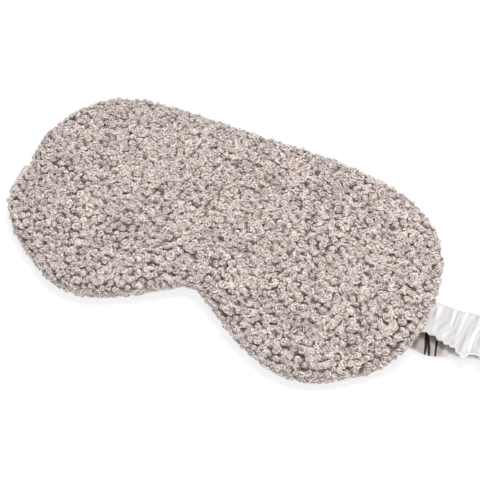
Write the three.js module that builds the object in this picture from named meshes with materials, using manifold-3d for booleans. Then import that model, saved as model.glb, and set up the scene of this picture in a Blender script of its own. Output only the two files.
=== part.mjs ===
// Sleep eye mask: a bean-shaped padded mask with a plush front and a satin back, and an elastic strap in a
// gathered satin sleeve. The strap is a closed loop. It lies folded at the mask's right end, runs back
// under the mask and turns up into the seam at the left end.
// Millimetres. +X is along the mask's width, +Y towards the forehead edge and +Z out of the plush front.
// The origin is under the middle of the mask, on the strap's centre line, at the height the object rests on.
import * as THREE from "three";
import { mergeVertices } from "three/addons/utils/BufferGeometryUtils.js";
import Module from "manifold-3d";

const wasm = await Module();
wasm.setup();

// ---------- driving dimensions ----------

// One half of the mask's widest outline, from the middle of the forehead edge round to the nose notch.
const HALF_OUTLINE = [
  [0, 62.5], // middle of the forehead edge
  [28, 62.5],
  [54, 60],
  [80, 52],
  [97, 34.5],
  [102, 8], // widest point
  [98, -18],
  [81, -37.3],
  [56, -48], // lowest point of the cheek lobe
  [30, -41.4],
  [11, -30.2],
  [0, -25], // top of the nose notch
];
const OUTLINE_POINTS = 60; // samples round the whole outline
const CENTRE = new THREE.Vector2(0, 13); // the point the inner rings shrink towards
const EDGE_BAND = 8; // insets up to this are square to the outline
const CENTRE_INSET = 60; // the inset that stands for the centre point
const INNER_RINGS = [17, 24, 31, 38, 46]; // insets that every layer shares, so that the layers drape alike

// The soft mask drapes over the strap that lies under it.
const DRAPE_LIFT = 4.2;
const DRAPE_FLAT = 10.6; // half-width of the part that is fully lifted
const DRAPE_FALL = 24; // width over which it comes back down
const REST_GAP = 0.3; // the back panel's height over the resting plane away from the strap

// The seam's height above the mask's underside, and how far it sits inside the widest outline.
const SEAM_HEIGHT = 3.4;
const SEAM_INSET = 3;
const ALLOWANCE = 7.2; // inset at which the turned-in cut edges of both panels end

const THREAD = 0.6; // thread diameter
const GAP = 0.3; // clearance between neighbouring pieces
const THREAD_ROOM = THREAD / 2 + GAP; // half the space between the two cut edges, where the thread runs
const SEAM_THREAD_INSET = 5.4;
const CLOSING_INSET = 2.2; // the hand stitches lie in the corner under the rim
const CLOSING_DROP = 0.25;
const TURNING_GAP = 3; // outline samples from the middle to each end of the hand-closed opening

// Strap: an elastic band in a gathered sleeve.
const SLEEVE_WIDTH = 20;
const SLEEVE_THICK = 4;
const TAB_WIDTH = 16; // the sleeve is pinched flat where it enters the seam
const TAB_THICK = 2.4;
const BAND_WIDTH = 12;
const BAND_THICK = 1.2;
const CHANNEL_WIDTH = 14.4; // hollow of the sleeve
const CHANNEL_THICK = 1.8;
const LOW_Z = SLEEVE_THICK / 2; // centre of the run on the table
const ROOT_Z = SEAM_HEIGHT + DRAPE_LIFT; // centre of the strap where it leaves the seam
const SAG_Z = 6.7; // centre of the upper run at its lowest
const FOLD_RADIUS = 2.8; // centre-line radius of the fold at the loop's end
const TAB_IN_X = 95.6; // inner end of the strap in the seam
const HINGE_X = 105; // where the strap leaves the mask's edge and is free to bend
const SAG_X = 128;
const FOLD_X = 152; // where the end fold's own piece begins
const TURN_X = 157; // centre of the end fold
const LEFT_TURN_X = 98.6; // centre of the turn under the left end, measured from the middle
const PINCH_LENGTH = 14; // length over which the sleeve opens to full width

// ---------- small helpers ----------

const smooth = (t) => {
  const k = THREE.MathUtils.clamp(t, 0, 1);
  return k * k * (3 - 2 * k);
};
const mix = (a, b, t) => a + (b - a) * t;
const range = (n) => Array.from({ length: n }, (_, i) => i);

function meshFrom(vertices, faces) {
  const geometry = new THREE.BufferGeometry();
  geometry.setAttribute("position", new THREE.Float32BufferAttribute(vertices.flat(), 3));
  geometry.setIndex(faces.flat());
  return geometry;
}

// The two triangles of a quad whose corners run counter-clockwise as seen from outside.
const quad = (a, b, c, d) => [a, b, c, a, c, d];

function toSolid(geometry) {
  const bare = geometry.clone();
  bare.deleteAttribute("normal");
  bare.deleteAttribute("uv");
  const merged = mergeVertices(bare);
  const vertProperties = new Float32Array(merged.attributes.position.array);
  const triVerts = new Uint32Array(merged.index.array);
  return new wasm.Manifold(new wasm.Mesh({ numProp: 3, vertProperties, triVerts }));
}

function fromSolid(solid) {
  const mesh = solid.getMesh();
  const geometry = new THREE.BufferGeometry();
  geometry.setAttribute("position", new THREE.BufferAttribute(new Float32Array(mesh.vertProperties), 3));
  geometry.setIndex(new THREE.BufferAttribute(new Uint32Array(mesh.triVerts), 1));
  return geometry;
}

// ---------- mask outline ----------

function sampleOutline() {
  const left = HALF_OUTLINE.map(([x, y]) => new THREE.Vector3(-x, y, 0));
  const right = HALF_OUTLINE.slice(1, -1).reverse().map(([x, y]) => new THREE.Vector3(x, y, 0));
  const curve = new THREE.CatmullRomCurve3([...left, ...right], true);
  const points = curve.getSpacedPoints(OUTLINE_POINTS).slice(0, OUTLINE_POINTS);
  return points.map((point, i) => {
    const before = points[(i + OUTLINE_POINTS - 1) % OUTLINE_POINTS];
    const after = points[(i + 1) % OUTLINE_POINTS];
    const along = after.clone().sub(before).normalize();
    return { x: point.x, y: point.y, inX: -along.y, inY: along.x };
  });
}

const outline = sampleOutline(); // counter-clockwise seen from +Z

const drape = (y) => {
  const t = THREE.MathUtils.clamp((Math.abs(y) - DRAPE_FLAT) / DRAPE_FALL, 0, 1);
  return DRAPE_LIFT * 0.5 * (1 + Math.cos(Math.PI * t));
};

// The outline moved in by an inset: square to the edge at first, then shrinking to the centre.
function insetPoint({ x, y, inX, inY }, inset) {
  const near = Math.min(inset, EDGE_BAND);
  const shrink = 1 - Math.max(0, inset - EDGE_BAND) / (CENTRE_INSET - EDGE_BAND);
  return [mix(CENTRE.x, x + inX * near, shrink), mix(CENTRE.y, y + inY * near, shrink)];
}

// The profile with the shared inner rings added wherever it passes them.
function withInnerRings(profile) {
  const full = [profile[0]];
  for (const i of range(profile.length - 1)) {
    const [fromInset, fromHeight] = profile[i];
    const [toInset, toHeight] = profile[i + 1];
    const passed = INNER_RINGS.filter((r) => (r - fromInset) * (r - toInset) < 0);
    if (toInset < fromInset) passed.reverse();
    for (const r of passed) full.push([r, mix(fromHeight, toHeight, (r - fromInset) / (toInset - fromInset))]);
    full.push(profile[i + 1]);
  }
  return full;
}

// A closed layer of the mask. The profile is [inset, height] pairs from the middle of the top face, out to
// the rim and back to the middle of the bottom face.
function layer(sketch) {
  const profile = withInnerRings(sketch);
  const first = profile[0];
  const last = profile[profile.length - 1];
  const rings = profile.slice(1, -1);
  const vertices = [];
  for (const [inset, height] of rings)
    for (const point of outline) {
      const [x, y] = insetPoint(point, inset);
      vertices.push([x, y, height + drape(y)]);
    }
  const top = vertices.push([CENTRE.x, CENTRE.y, first[1] + drape(CENTRE.y)]) - 1;
  const bottom = vertices.push([CENTRE.x, CENTRE.y, last[1] + drape(CENTRE.y)]) - 1;
  const faces = [];
  const lastRing = (rings.length - 1) * OUTLINE_POINTS;
  for (const j of range(OUTLINE_POINTS)) {
    const k = (j + 1) % OUTLINE_POINTS;
    faces.push([top, j, k], [bottom, lastRing + k, lastRing + j]);
    for (const i of range(rings.length - 1)) {
      const a = i * OUTLINE_POINTS;
      const b = a + OUTLINE_POINTS;
      faces.push(quad(a + j, b + j, b + k, a + k));
    }
  }
  return meshFrom(vertices, faces);
}

// ---------- mask pieces ----------

// Plush front: a domed shell that wraps round the rim to the seam, with its cut edge turned in.
function frontPanel() {
  return layer([
    [CENTRE_INSET, 14.4],
    [31, 14.2],
    [17, 13.5],
    [12, 12.8],
    [6.5, 11.7],
    [3, 10.3],
    [0.9, 8.5],
    [0, 6.5],
    [0.3, 5],
    [1.4, 3.9],
    [SEAM_INSET, SEAM_HEIGHT + GAP],
    [SEAM_INSET + 1, SEAM_HEIGHT + THREAD_ROOM],
    [ALLOWANCE, SEAM_HEIGHT + THREAD_ROOM],
    [ALLOWANCE, SEAM_HEIGHT + THREAD_ROOM + 1],
    [5.2, SEAM_HEIGHT + THREAD_ROOM + 1.3],
    [4.4, 6.4],
    [6, 8],
    [9.5, 9],
    [17, 9.9],
    [31, 10.4],
    [CENTRE_INSET, 10.6],
  ]);
}

// Padding that gives the mask its thickness.
function paddingCore() {
  return layer([
    [CENTRE_INSET, 10.2],
    [31, 10],
    [17, 9.5],
    [9.8, 8.5],
    [8, 6.6],
    [8, 5.6],
    [10.6, 3.6],
    [17, 2.6],
    [CENTRE_INSET, 2.4],
  ]);
}

// Opaque lining between the padding and the back panel.
function blackoutLining() {
  return layer([
    [CENTRE_INSET, 2.05],
    [17, 2.25],
    [11.6, 2.9],
    [10.8, 2.7],
    [17, 1.8],
    [CENTRE_INSET, 1.55],
  ]);
}

// Satin back: nearly flat, curving up to the seam, with its cut edge turned in.
function backPanel() {
  return layer([
    [CENTRE_INSET, REST_GAP + 0.9],
    [17, REST_GAP + 1.1],
    [9.6, REST_GAP + 1.7],
    [ALLOWANCE, SEAM_HEIGHT - THREAD_ROOM - 0.8],
    [ALLOWANCE, SEAM_HEIGHT - THREAD_ROOM],
    [SEAM_INSET + 1, SEAM_HEIGHT - THREAD_ROOM],
    [SEAM_INSET, SEAM_HEIGHT - GAP],
    [3.6, 2],
    [6, 1.2],
    [10, REST_GAP + 0.4],
    [17, REST_GAP + 0.1],
    [CENTRE_INSET, REST_GAP],
  ]);
}

// Room for the strap's end in the seam, cut out of the two panels at one end of the mask.
function seamSlot(side) {
  const inner = TAB_IN_X - 2 * GAP;
  const outer = 112;
  const bottom = ROOT_Z - TAB_THICK / 2 - GAP;
  const top = ROOT_Z + TAB_THICK / 2 + THREAD + 3 * GAP;
  const box = new THREE.BoxGeometry(outer - inner, TAB_WIDTH + 3 * GAP, top - bottom);
  box.translate((side * (inner + outer)) / 2, 0, (top + bottom) / 2);
  return toSolid(box);
}

function withSeamSlots(geometry) {
  return fromSolid(toSolid(geometry).subtract(seamSlot(1)).subtract(seamSlot(-1)));
}

// ---------- threads ----------

// A round cord through points [x, y, z], with flat ends.
function cord(points, diameter) {
  const curve = new THREE.CatmullRomCurve3(points.map((p) => new THREE.Vector3(...p)));
  const shape = new THREE.Shape();
  shape.absarc(0, 0, diameter / 2, 0, 2 * Math.PI);
  const steps = Math.max(2, points.length - 1);
  return new THREE.ExtrudeGeometry(shape, { steps, extrudePath: curve, curveSegments: 3 });
}

// Thread along part of the outline, from one sample number to another.
function threadAlong(from, to, inset, height) {
  const points = range(to - from + 1).map((i) => {
    const [x, y] = insetPoint(outline[(from + i + OUTLINE_POINTS) % OUTLINE_POINTS], inset);
    return [x, y, height + drape(y)];
  });
  return cord(points, THREAD);
}

// Machine seam between the two cut edges.
const seamThread = (from, to) => threadAlong(from, to, SEAM_THREAD_INSET, SEAM_HEIGHT);

// Hand stitches that close the opening the mask was turned through.
const closingStitch = () => threadAlong(-TURNING_GAP, TURNING_GAP, CLOSING_INSET, SEAM_HEIGHT - CLOSING_DROP);

// The first outline sample, counted from the middle of the forehead edge, on the given side of a height.
const firstSampleBelow = (y) => outline.findIndex((p) => p.y < y);
const STRAP_CLEAR = TAB_WIDTH / 2 + 4 * GAP;
const aboveStrap = firstSampleBelow(STRAP_CLEAR) - 1;
const belowStrap = firstSampleBelow(-STRAP_CLEAR);

// Stitches that hold a strap end, across the strap and on top of it.
function strapStitch(side) {
  const z = ROOT_Z + TAB_THICK / 2 + GAP + THREAD / 2;
  const x = side * (TAB_IN_X + 1.8);
  const half = TAB_WIDTH / 2 - 1;
  return cord([[x, -half, z], [x, 0, z], [x, half, z]], THREAD);
}

// ---------- strap ----------

// A cross-section with rounded corners, counter-clockwise in (across, up).
function section(width, thick, corner) {
  const arcs = [[1, -1, -90], [1, 1, 0], [-1, 1, 90], [-1, -1, 180]];
  return arcs.flatMap(([sideX, sideY, start]) =>
    [0, 45, 90].map((turn) => {
      const angle = THREE.MathUtils.degToRad(start + turn);
      const across = sideX * (width / 2 - corner) + corner * Math.cos(angle);
      const up = sideY * (thick / 2 - corner) + corner * Math.sin(angle);
      return [across, up];
    }),
  );
}

const box = (width, thick, shift = 0) => [
  [shift + width / 2, -thick / 2],
  [shift + width / 2, thick / 2],
  [shift - width / 2, thick / 2],
  [shift - width / 2, -thick / 2],
];

// A station of the strap: its place in the XZ plane, its direction there, and the sleeve's size.
const station = (x, z, angle, width = SLEEVE_WIDTH, thick = SLEEVE_THICK) => ({ x, z, angle, width, thick });

function place({ x, z, angle }, [across, up]) {
  return [x - up * Math.sin(angle), across, z + up * Math.cos(angle)];
}

// Sweeps an outer section, and an inner one if the piece is hollow, along the stations.
function sweep(stations, outerOf, innerOf) {
  const vertices = [];
  const faces = [];
  const count = stations.length;
  const size = outerOf(stations[0]).length;
  const addRings = (sectionOf) => {
    const start = vertices.length;
    for (const s of stations) for (const p of sectionOf(s)) vertices.push(place(s, p));
    return start;
  };
  const addWall = (start, flip) => {
    for (const i of range(count - 1))
      for (const j of range(size)) {
        const k = (j + 1) % size;
        const a = start + i * size;
        const b = a + size;
        faces.push(flip ? quad(a + j, b + j, b + k, a + k) : quad(a + j, a + k, b + k, b + j));
      }
  };
  const end = (count - 1) * size;
  const outer = addRings(outerOf);
  addWall(outer, false);
  if (innerOf) {
    const inner = addRings(innerOf);
    addWall(inner, true);
    for (const j of range(size)) {
      const k = (j + 1) % size;
      faces.push(quad(outer + k, outer + j, inner + j, inner + k));
      faces.push(quad(outer + end + j, outer + end + k, inner + end + k, inner + end + j));
    }
  } else {
    for (const j of range(size - 2)) {
      faces.push([outer, outer + j + 2, outer + j + 1]);
      faces.push([outer + end, outer + end + j + 1, outer + end + j + 2]);
    }
  }
  return meshFrom(vertices, faces);
}

const sleeve = (stations) =>
  sweep(
    stations,
    (s) => section(s.width, s.thick, s.thick / 2 - 0.1),
    () => section(CHANNEL_WIDTH, CHANNEL_THICK, 0.3),
  );
const band = (stations) => sweep(stations, () => box(BAND_WIDTH, BAND_THICK));
const TUBE_SEAM_AT = 6.6; // the sleeve's lengthwise seam lies beside the band
const tubeSeam = (stations) => sweep(stations, () => box(0.5, 0.5, TUBE_SEAM_AT));

// Height of the upper run's centre line: down from the seam, then up a little to the end fold.
const FOLD_TOP_Z = LOW_Z + 2 * FOLD_RADIUS;
function upperZ(x) {
  if (x < SAG_X) return mix(ROOT_Z, SAG_Z, smooth((x - HINGE_X) / (SAG_X - HINGE_X)));
  return mix(SAG_Z, FOLD_TOP_Z, smooth((x - SAG_X) / (FOLD_X - SAG_X)));
}
const pinch = (x) => mix(TAB_WIDTH, SLEEVE_WIDTH, smooth((x - HINGE_X) / PINCH_LENGTH));

function upperRun(from, to, count) {
  return range(count + 1).map((i) => {
    const x = mix(from, to, i / count);
    const slope = (upperZ(x + 0.1) - upperZ(x - 0.1)) / 0.2;
    return station(x, upperZ(x), Math.atan(slope), pinch(x));
  });
}

// A half turn from the upper to the lower level. Side 1 turns round the right, side -1 round the left.
const TURN_STEPS = 10;
function halfTurn(side, centreX, topZ, width, thick) {
  const radius = (topZ - LOW_Z) / 2;
  const centreZ = (topZ + LOW_Z) / 2;
  return range(TURN_STEPS + 1).map((i) => {
    const turn = (Math.PI * i) / TURN_STEPS;
    const x = centreX + side * radius * Math.sin(turn);
    const z = centreZ + radius * Math.cos(turn);
    return station(x, z, side > 0 ? -turn : Math.PI + turn, width, thick);
  });
}

const flat = (x) => station(x, LOW_Z, 0);

// The end held in the right seam, opening to the sleeve's full thickness just outside it.
const endRight = [TAB_IN_X, 99, 102.5, HINGE_X - GAP / 2].map((x) =>
  station(x, ROOT_Z, 0, TAB_WIDTH, mix(TAB_THICK, SLEEVE_THICK, smooth((x - 101) / 4))),
);
const upper = upperRun(HINGE_X + GAP / 2, FOLD_X - GAP / 2, 12);
const fold = [
  station(FOLD_X + GAP / 2, FOLD_TOP_Z, 0),
  ...halfTurn(1, TURN_X, FOLD_TOP_Z, SLEEVE_WIDTH, SLEEVE_THICK),
  station(FOLD_X + GAP / 2, LOW_Z, -Math.PI),
];
const lower = [flat(HINGE_X + GAP / 2), flat(FOLD_X - GAP / 2)];
// From the left seam, round the left turn and along under the mask.
const under = [
  station(-TAB_IN_X, ROOT_Z, Math.PI, TAB_WIDTH, TAB_THICK),
  ...halfTurn(-1, -LEFT_TURN_X, ROOT_Z, TAB_WIDTH, TAB_THICK),
  flat(-LEFT_TURN_X + PINCH_LENGTH),
  flat(0),
  flat(HINGE_X - GAP / 2),
];

// ---------- assembly ----------

const COLOURS = {
  boucle: ["#bbada7", 0.95],
  padding: ["#efece6", 0.95],
  lining: ["#26242a", 0.9],
  satin: ["#d9d5d4", 0.4],
  elastic: ["#f2f0ec", 0.8],
  thread: ["#cfc6c0", 0.7],
};

const part = new THREE.Group();

function add(name, material, geometry) {
  const [color, roughness] = COLOURS[material];
  const mesh = new THREE.Mesh(geometry, new THREE.MeshStandardMaterial({ color, roughness, metalness: 0 }));
  mesh.name = name;
  part.add(mesh);
}

add("front_panel", "boucle", withSeamSlots(frontPanel()));
add("padding_core", "padding", paddingCore());
add("blackout_lining", "lining", blackoutLining());
add("back_panel", "satin", withSeamSlots(backPanel()));

add("seam_thread_brow_left", "thread", seamThread(TURNING_GAP, aboveStrap));
add("seam_thread_nose", "thread", seamThread(belowStrap, OUTLINE_POINTS - belowStrap));
add("seam_thread_brow_right", "thread", seamThread(OUTLINE_POINTS - aboveStrap, OUTLINE_POINTS - TURNING_GAP));
add("closing_stitch", "thread", closingStitch());
add("strap_stitch_left", "thread", strapStitch(-1));
add("strap_stitch_right", "thread", strapStitch(1));

const STRAP_RUNS = { end_right: endRight, upper, fold, lower, under };
for (const [name, stations] of Object.entries(STRAP_RUNS)) {
  add("sleeve_" + name, "satin", sleeve(stations));
  add("elastic_" + name, "elastic", band(stations));
}
for (const name of ["upper", "fold", "lower", "under"])
  add("tube_seam_" + name, "thread", tubeSeam(STRAP_RUNS[name]));

export default part;
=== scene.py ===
# Sleep eye mask: the looks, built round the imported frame. Metres, in the frame's axes.
import math

import bpy
import numpy as np
from mathutils import Matrix, Vector
from mathutils.bvhtree import BVHTree
from mathutils.kdtree import KDTree


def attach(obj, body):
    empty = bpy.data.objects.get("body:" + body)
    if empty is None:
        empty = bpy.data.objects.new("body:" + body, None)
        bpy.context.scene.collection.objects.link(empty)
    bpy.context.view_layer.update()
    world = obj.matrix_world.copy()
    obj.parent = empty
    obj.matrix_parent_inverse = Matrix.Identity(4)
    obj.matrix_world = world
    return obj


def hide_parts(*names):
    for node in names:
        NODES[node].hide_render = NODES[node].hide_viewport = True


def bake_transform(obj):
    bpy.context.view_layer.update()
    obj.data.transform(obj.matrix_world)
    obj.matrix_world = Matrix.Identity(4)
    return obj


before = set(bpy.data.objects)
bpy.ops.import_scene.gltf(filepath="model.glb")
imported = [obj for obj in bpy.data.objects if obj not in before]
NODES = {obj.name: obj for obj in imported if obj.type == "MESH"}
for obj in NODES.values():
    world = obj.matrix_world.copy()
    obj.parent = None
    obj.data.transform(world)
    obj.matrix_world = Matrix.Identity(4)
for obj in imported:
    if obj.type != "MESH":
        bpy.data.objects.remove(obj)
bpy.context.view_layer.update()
MM = 0.001
SEED = 20

# ---- driving dimensions, in millimetres, as in the CAD ----

HALF_OUTLINE = [
    (0, 62.5), (28, 62.5), (54, 60), (80, 52), (97, 34.5), (102, 8),
    (98, -18), (81, -37.3), (56, -48), (30, -41.4), (11, -30.2), (0, -25),
]
CENTRE = np.array([0.0, 13.0])  # the point the inner rings shrink towards
EDGE_BAND = 8.0  # insets up to this are square to the outline
CENTRE_INSET = 60.0
DRAPE_LIFT = 4.2  # the soft mask lies over its own strap
DRAPE_FLAT = 10.6
DRAPE_FALL = 24.0

# (inset, height) from the middle of the front out to the seam, at the tips of the pile.
FRONT_PROFILE = [
    (60, 14.4), (31, 14.2), (17, 13.5), (12, 12.8), (6.5, 11.7), (3, 10.3),
    (0.9, 8.5), (0, 6.5), (0.3, 5), (1.4, 3.9), (3, 3.4),
]
# (inset, height) from the middle of the satin back out to the seam.
BACK_PROFILE = [(60, 0.5), (31, 0.5), (17, 0.6), (10, 0.8), (6, 1.4), (3.8, 2.4), (3, 3.4)]
PILE_DEPTH = 2.1  # the fleece's ground lies this far under the tips of its loops


# ---- curves ----

def spline(points, per_span, closed=False):
    """A centripetal Catmull-Rom curve through the points."""
    p = np.array(points, float)
    if closed:
        p = np.vstack([p[-1:], p, p[:2]])
    else:
        p = np.vstack([2 * p[0] - p[1], p, 2 * p[-1] - p[-2]])
    out = []
    for four in zip(p, p[1:], p[2:], p[3:]):
        knot = [0.0]
        for a, b in zip(four, four[1:]):
            knot.append(knot[-1] + math.sqrt(np.linalg.norm(b - a)))
        t = np.linspace(knot[1], knot[2], per_span, endpoint=False)[:, None]
        level = four
        for spans in (((0, 1), (1, 2), (2, 3)), ((0, 2), (1, 3)), ((1, 2),)):
            level = [
                (knot[j] - t) / (knot[j] - knot[i]) * a + (t - knot[i]) / (knot[j] - knot[i]) * b
                for (i, j), a, b in zip(spans, level, level[1:])
            ]
        out.append(level[0])
    if not closed:
        out.append(p[-2:-1])
    return np.vstack(out)


def lengths_along(points):
    return np.concatenate([[0.0], np.cumsum(np.linalg.norm(np.diff(points, axis=0), axis=1))])


def smooth(t):
    t = np.clip(t, 0, 1)
    return t * t * (3 - 2 * t)


def eased(points, x):
    """Values at x on a smooth curve through (x, value) points."""
    curve = spline(points, 12)
    return np.interp(x, curve[:, 0], curve[:, 1])


def unit(vectors):
    """The vectors at length one."""
    return vectors / np.maximum(np.linalg.norm(vectors, axis=-1, keepdims=True), 1e-9)


def curve_at(t, at, points):
    """Points of a plane curve at distances t, where at holds its own points' distances."""
    return np.stack([np.interp(t, at, points[:, i]) for i in (0, 1)], -1)


def make_outline():
    left = [(-x, y) for x, y in HALF_OUTLINE]
    right = HALF_OUTLINE[1:-1][::-1]
    points = spline(left + right, 24, True)
    points = np.vstack([points, points[:1]])
    at = lengths_along(points)
    return points, at / at[-1]


OUTLINE, OUTLINE_AT = make_outline()
TANGENT_STEP = 0.002  # share of the outline's length over which its direction is measured


def outline_at(turn):
    """Point and inward normal of the outline at a fraction of its length, counter-clockwise from the brow."""
    here, ahead, behind = (
        curve_at(np.mod(turn + s, 1.0), OUTLINE_AT, OUTLINE) for s in (0, TANGENT_STEP, -TANGENT_STEP)
    )
    along = unit(ahead - behind)
    return here, np.stack([-along[..., 1], along[..., 0]], -1)


# The soft mask lies a little unevenly in its left half: (x, y, reach, shift in x, shift in y).
NUDGES = [(-102, 3, 14, 4.3, 0), (-72, 56, 30, -0.8, 2.6), (-77, -43, 20, 1.3, 1.8)]


def nudged(xy):
    """The outline's own places, moved to where the soft mask lies."""
    moved = xy.copy()
    for x, y, reach, shift_x, shift_y in NUDGES:
        share = np.exp(-((xy[..., 0] - x) ** 2 + (xy[..., 1] - y) ** 2) / reach ** 2)
        moved = moved + share[..., None] * (shift_x, shift_y)
    return moved


def drape(y):
    t = np.clip((np.abs(y) - DRAPE_FLAT) / DRAPE_FALL, 0, 1)
    return DRAPE_LIFT * 0.5 * (1 + np.cos(np.pi * t))


def mask_point(turn, inset, height):
    """Place of a point of the mask, in millimetres, from its turn round the outline, inset and height."""
    here, inward = outline_at(turn)
    near = np.minimum(inset, EDGE_BAND)[..., None]
    shrink = (1 - np.maximum(0, inset - EDGE_BAND) / (CENTRE_INSET - EDGE_BAND))[..., None]
    xy = nudged(CENTRE + (here + inward * near - CENTRE) * shrink)
    return np.concatenate([xy, (height + drape(xy[..., 1]))[..., None]], -1)


# ---- meshes ----

def tune(thing, **settings):
    """Sets a Blender thing's own values by name, and returns it."""
    for name, value in settings.items():
        setattr(thing, name, value)
    return thing


def new_object(name, data):
    obj = bpy.data.objects.new(name, data)
    bpy.context.scene.collection.objects.link(obj)
    return obj


def mesh_object(name, points, quads):
    """An object from points in millimetres and rows of four corner numbers."""
    mesh = bpy.data.meshes.new(name)
    mesh.from_pydata((np.asarray(points, np.float32) * MM).tolist(), [], np.asarray(quads).tolist(), False)
    mesh.validate()
    return new_object(name, mesh)


def coords(obj):
    return np.array([vertex.co for vertex in obj.data.vertices]) / MM


def normals(obj):
    return np.array([vertex.normal for vertex in obj.data.vertices])


def set_coords(obj, points):
    obj.data.vertices.foreach_set("co", (np.asarray(points) * MM).astype(np.float32).ravel())
    obj.data.update()


def apply_modifiers(obj):
    depsgraph = bpy.context.evaluated_depsgraph_get()
    baked = bpy.data.meshes.new_from_object(obj.evaluated_get(depsgraph), depsgraph=depsgraph)
    obj.modifiers.clear()
    obj.data = baked


def store(obj, name, values):
    attribute = obj.data.attributes.new(name, "FLOAT", "POINT")
    attribute.data.foreach_set("value", np.asarray(values, np.float32))


def grid_quads(rows, columns, closed):
    """Corner numbers of a grid of points stored row by row. closed joins the last column to the first."""
    i, j = np.meshgrid(np.arange(rows - 1), np.arange(columns if closed else columns - 1), indexing="ij")
    k = (j + 1) % columns
    corners = (i * columns + j, i * columns + k, (i + 1) * columns + k, (i + 1) * columns + j)
    return np.stack([c.ravel() for c in corners], 1)


# ---- the padded body: a pillow inflated by cloth simulation ----

GRID_X, GRID_Y = 53, 33  # points of the square that is bent into the bean, about 4 mm apart
START_SHRINK = 0.8  # the pillow starts this much slimmer, because it swells
BACK_SHRINK = 0.2
SWELL_CAP = 2.2  # furthest that the simulation may move a point
SWELL_FRAMES = 20
SWELL = {
    "quality": 6, "mass": 0.2, "tension_stiffness": 12, "compression_stiffness": 12, "shear_stiffness": 4,
    "bending_stiffness": 0.4, "use_pressure": True, "uniform_pressure_force": 4,
}
RIM_WIDTH = 7.0  # the pile grows to its rim depth over this distance from the seam
RIM_SHARE = 0.55  # and its depth on the rim is this share of its full depth
RIM_END, RIM_FADE = 5.0, 10.0  # past the first distance it grows to its full depth, over the second


def disc_grid():
    """(share of the way from the middle to the edge, turn round the outline) for each point of the grid."""
    v, u = np.meshgrid(np.linspace(-1, 1, GRID_Y), np.linspace(-1, 1, GRID_X), indexing="ij")
    x = u * np.sqrt(1 - v * v / 2)
    y = v * np.sqrt(1 - u * u / 2)
    share = np.clip(np.hypot(x, y), 0, 1)
    # The outline's own angle at each fraction of its length, so that the grid isn't twisted.
    angle_at = np.unwrap(np.arctan2(OUTLINE[:, 1] - CENTRE[1], (OUTLINE[:, 0] - CENTRE[0]) * 0.5))
    angle = np.arctan2(y, x)
    angle = np.mod(angle - angle_at[0], 2 * np.pi) + angle_at[0]
    return share, np.interp(angle, angle_at, OUTLINE_AT)


def profile_at(profile, share, offset):
    """(inset, height) at shares of a profile's length. The curve is first moved inwards by offset."""
    curve = spline(profile, 16)
    tangent = unit(np.gradient(curve, axis=0))
    side = 1.0 if profile is FRONT_PROFILE else -1.0
    inward = side * np.stack([-tangent[:, 1], tangent[:, 0]], 1)
    at = lengths_along(curve)
    to_seam = at[-1] - at
    # The pile is shorter round the rim, so the ground lies nearer the outline there.
    past_rim = smooth((to_seam - RIM_END) / RIM_FADE)
    share_of_depth = smooth(to_seam / RIM_WIDTH) * (RIM_SHARE + (1 - RIM_SHARE) * past_rim)
    curve = curve + inward * (offset * share_of_depth)[:, None]
    return np.moveaxis(curve_at(share, at / at[-1], curve), -1, 0)


def make_pillow():
    share, turn = disc_grid()
    front = mask_point(turn, *profile_at(FRONT_PROFILE, share, PILE_DEPTH + START_SHRINK))
    back = mask_point(turn, *profile_at(BACK_PROFILE, share, BACK_SHRINK))
    size = GRID_X * GRID_Y
    rim = np.ones((GRID_Y, GRID_X), bool)
    rim[1:-1, 1:-1] = False
    back_number = np.arange(size).reshape(GRID_Y, GRID_X)
    back_number[~rim] = size + np.arange((~rim).sum())
    points = np.vstack([front.reshape(-1, 3), back[~rim]])
    quads = grid_quads(GRID_Y, GRID_X, False)
    back_quads = back_number.ravel()[quads][:, ::-1]
    return mesh_object("pillow", points, np.vstack([quads, back_quads])), rim, len(quads)


def inflate(obj, pinned):
    """Swells a closed mesh with cloth pressure, up to SWELL_CAP at any point."""
    before = coords(obj)
    group = obj.vertex_groups.new(name="pinned")
    group.add(pinned.tolist(), 1.0, "REPLACE")
    cloth = obj.modifiers.new("Cloth", "CLOTH")
    tune(cloth.settings, vertex_group_mass="pinned", **SWELL)
    cloth.settings.effector_weights.gravity = 0
    cloth.collision_settings.use_collision = False
    for number in range(SWELL_FRAMES):
        bpy.context.scene.frame_set(number + 1)
    apply_modifiers(obj)
    bpy.context.scene.frame_set(1)
    obj.vertex_groups.clear()
    move = coords(obj) - before
    far = np.linalg.norm(move, axis=1, keepdims=True)
    set_coords(obj, before + move * np.minimum(1, SWELL_CAP / np.maximum(far, 1e-9)))


pillow, RIM, FRONT_FACES = make_pillow()
inflate(pillow, np.flatnonzero(RIM.ravel()))


# ---- the pillow, parted into the fleece's ground and the satin back ----

REST_HEIGHT = 0.3  # the back's height over the table, and over the strap's drape line
SUBDIVISIONS = 2


def split_pillow():
    """Two open sheets that share the seam, the ground and the back, kept above the table and the strap."""
    points = coords(pillow)
    quads = np.array([face.vertices[:] for face in pillow.data.polygons])
    points[:, 2] = np.maximum(points[:, 2], REST_HEIGHT + drape(points[:, 1]))
    parts = []
    for name, rows in (("fleece_ground", quads[:FRONT_FACES]), ("satin_back", quads[FRONT_FACES:])):
        used, rows = np.unique(rows, return_inverse=True)
        parts.append(mesh_object(name, points[used], rows.reshape(-1, 4)))
    bpy.data.objects.remove(pillow)
    return parts


def refine(obj):
    modifier = obj.modifiers.new("Subdivision", "SUBSURF")
    tune(modifier, levels=SUBDIVISIONS, render_levels=SUBDIVISIONS, boundary_smooth="PRESERVE_CORNERS")
    apply_modifiers(obj)


def thicken(obj, depth):
    """Gives an open sheet a back face, depth millimetres inside it."""
    tune(obj.modifiers.new("Solidify", "SOLIDIFY"), thickness=depth * MM, offset=-1)
    apply_modifiers(obj)


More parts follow.
